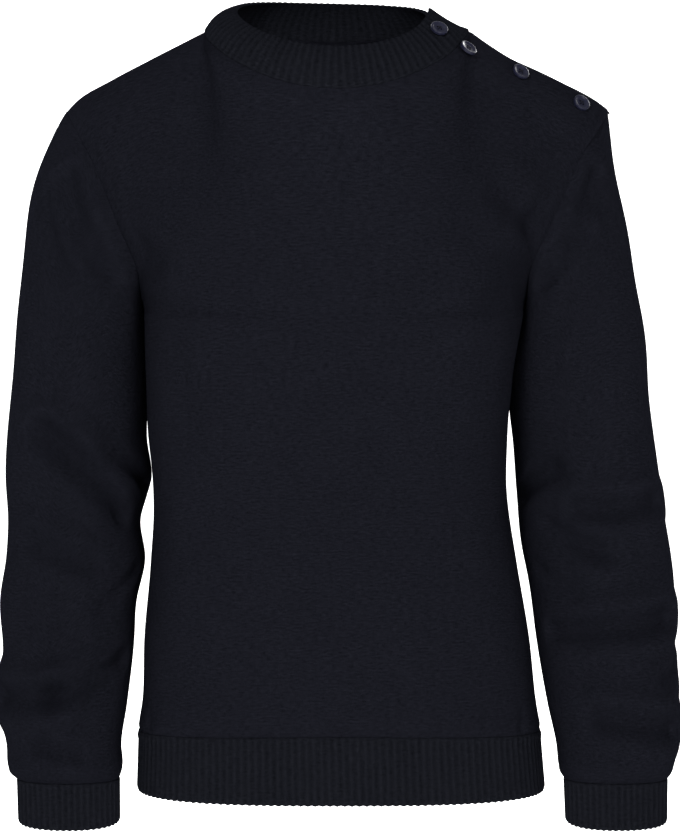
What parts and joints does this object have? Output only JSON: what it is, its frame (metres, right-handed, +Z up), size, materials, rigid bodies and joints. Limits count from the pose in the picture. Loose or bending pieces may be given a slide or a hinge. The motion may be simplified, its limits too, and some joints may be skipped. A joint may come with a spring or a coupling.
{
  "type": "breton sweater",
  "caption": "Fine-knit pullover, filled out as if worn: long sleeves, ribbed funnel collar, cuffs and hem, and a buttoned opening along the wearer's left shoulder.",
  "frame": {"origin": "midway between the two points where the shoulders meet the neck, where the wearer holds the garment", "axes": "+X to the wearer's left, +Y to the wearer's back, +Z up"},
  "size_m": [0.6019, 0.241, 0.7233],
  "materials": {
    "navy_knit": "matt fine knit",
    "navy_rib_knit": "matt ribbed knit",
    "navy_button": "gloss"
  },
  "bodies": {
    "root": {"front_panel": "navy_knit", "back_panel": "navy_knit", "button_stand": "navy_knit", "sleeve_right": "navy_knit", "sleeve_left": "navy_knit", "collar_band": "navy_rib_knit", "hem_front": "navy_rib_knit", "hem_back": "navy_rib_knit", "cuff_right": "navy_rib_knit", "cuff_left": "navy_rib_knit", "button_1": "navy_button", "button_2": "navy_button", "button_3": "navy_button", "button_4": "navy_button"}
  },
  "joints": []
}
